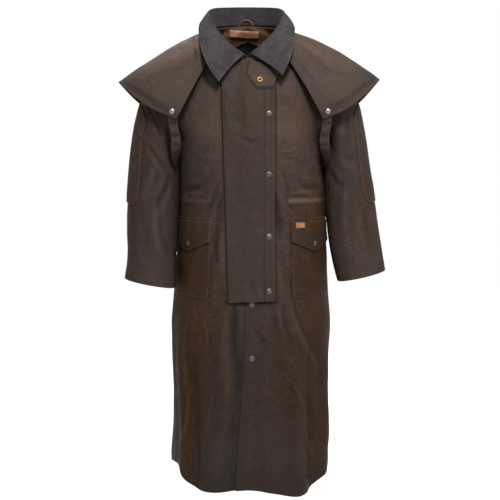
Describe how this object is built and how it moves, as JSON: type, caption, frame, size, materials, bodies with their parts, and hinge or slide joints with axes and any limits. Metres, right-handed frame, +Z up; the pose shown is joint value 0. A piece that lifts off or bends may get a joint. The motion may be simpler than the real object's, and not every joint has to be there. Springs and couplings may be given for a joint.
{
  "type": "duster coat",
  "caption": "Full-length waxed oilskin duster coat with a shoulder cape, collar, storm flap and pointed pocket flaps, hollow as when worn.",
  "frame": {"origin": "over the wearer's shoulders, on the body's middle line, at the height of the back neck seam", "axes": "+Z up, -Y towards the coat's front, +X towards the wearer's left"},
  "size_m": [0.7394, 0.3447, 1.3356],
  "materials": {
    "oilskin": "waxed cotton, semi-matt",
    "collar_cloth": "matt",
    "leather": "smooth",
    "steel": "antique nickel",
    "brass": "satin"
  },
  "bodies": {
    "root": {"back": "oilskin", "cape": "oilskin", "cape_snap_left": "steel", "cape_snap_right": "steel", "cape_strap_left": "oilskin", "cape_strap_right": "oilskin", "collar": "collar_cloth", "elbow_patch_left": "oilskin", "elbow_patch_right": "oilskin", "flap_label": "leather", "flap_snap_1": "steel", "flap_snap_2": "steel", "flap_snap_3": "steel", "flap_snap_4": "steel", "front_left": "oilskin", "front_right": "oilskin", "front_snap_1": "steel", "front_snap_2": "steel", "hang_loop": "oilskin", "neck_facing": "oilskin", "neck_label": "leather", "pocket_flap_left": "oilskin", "pocket_flap_right": "oilskin", "pocket_left": "oilskin", "pocket_right": "oilskin", "pocket_snap_left": "steel", "pocket_snap_right": "steel", "sleeve_left": "oilskin", "sleeve_right": "oilskin", "storm_flap": "oilskin", "throat_socket": "brass", "throat_tab": "oilskin"}
  },
  "joints": []
}
